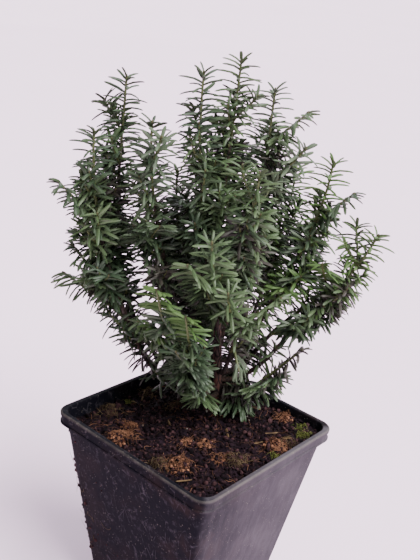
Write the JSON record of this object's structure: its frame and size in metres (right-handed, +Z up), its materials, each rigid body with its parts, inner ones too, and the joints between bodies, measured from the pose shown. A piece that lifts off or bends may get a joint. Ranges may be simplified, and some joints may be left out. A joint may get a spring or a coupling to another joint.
{
  "type": "young english yew in a square nursery pot",
  "caption": "Young english yew with an upright, vase-shaped crown of needled shoots on a short stem, in a tapered square black nursery pot filled with peat.",
  "frame": {"origin": "centre of the flat underside of the pot, on the surface it stands on", "axes": "+Z up; the pot's four sides run along X and Y. The picture looks from -Y and +X towards the corner of the pot between them, and the plant leaves the pot a little behind its middle."},
  "size_m": [0.1543, 0.1585, 0.3176],
  "materials": {
    "pot_plastic": "thin black moulded plastic, slightly glossy, dusty and scratched",
    "root_ball_peat": "moist fibrous peat with loose brown fibres",
    "bark": "thin flaking red-brown bark",
    "needles": "leathery dark green needles on green shoots"
  },
  "bodies": {
    "root": {"pot": "pot_plastic", "root_ball": "root_ball_peat", "stem": "bark", "bough_left": "bark", "bough_left_tall": "bark", "bough_left_inner": "bark", "bough_left_back": "bark", "bough_centre_left": "bark", "bough_centre_top": "bark", "bough_centre_right": "bark", "bough_centre_front": "bark", "bough_right_upper": "bark", "bough_right_outer": "bark", "bough_right_low": "bark", "bough_right_foot": "bark", "bough_front_high": "bark", "bough_front_left": "bark", "bough_front_low": "bark", "bough_front_right": "bark", "bough_back_left": "bark", "bough_back": "bark", "bough_back_right": "bark", "bough_back_low": "bark", "foliage_left": "needles", "foliage_left_tall": "needles", "foliage_left_inner": "needles", "foliage_left_back": "needles", "foliage_centre_left": "needles", "foliage_centre_top": "needles", "foliage_centre_right": "needles", "foliage_centre_front": "needles", "foliage_right_upper": "needles", "foliage_right_outer": "needles", "foliage_right_low": "needles", "foliage_right_foot": "needles", "foliage_front_high": "needles", "foliage_front_left": "needles", "foliage_front_low": "needles", "foliage_front_right": "needles", "foliage_back_left": "needles", "foliage_back": "needles", "foliage_back_right": "needles", "foliage_back_low": "needles"}
  },
  "joints": []
}
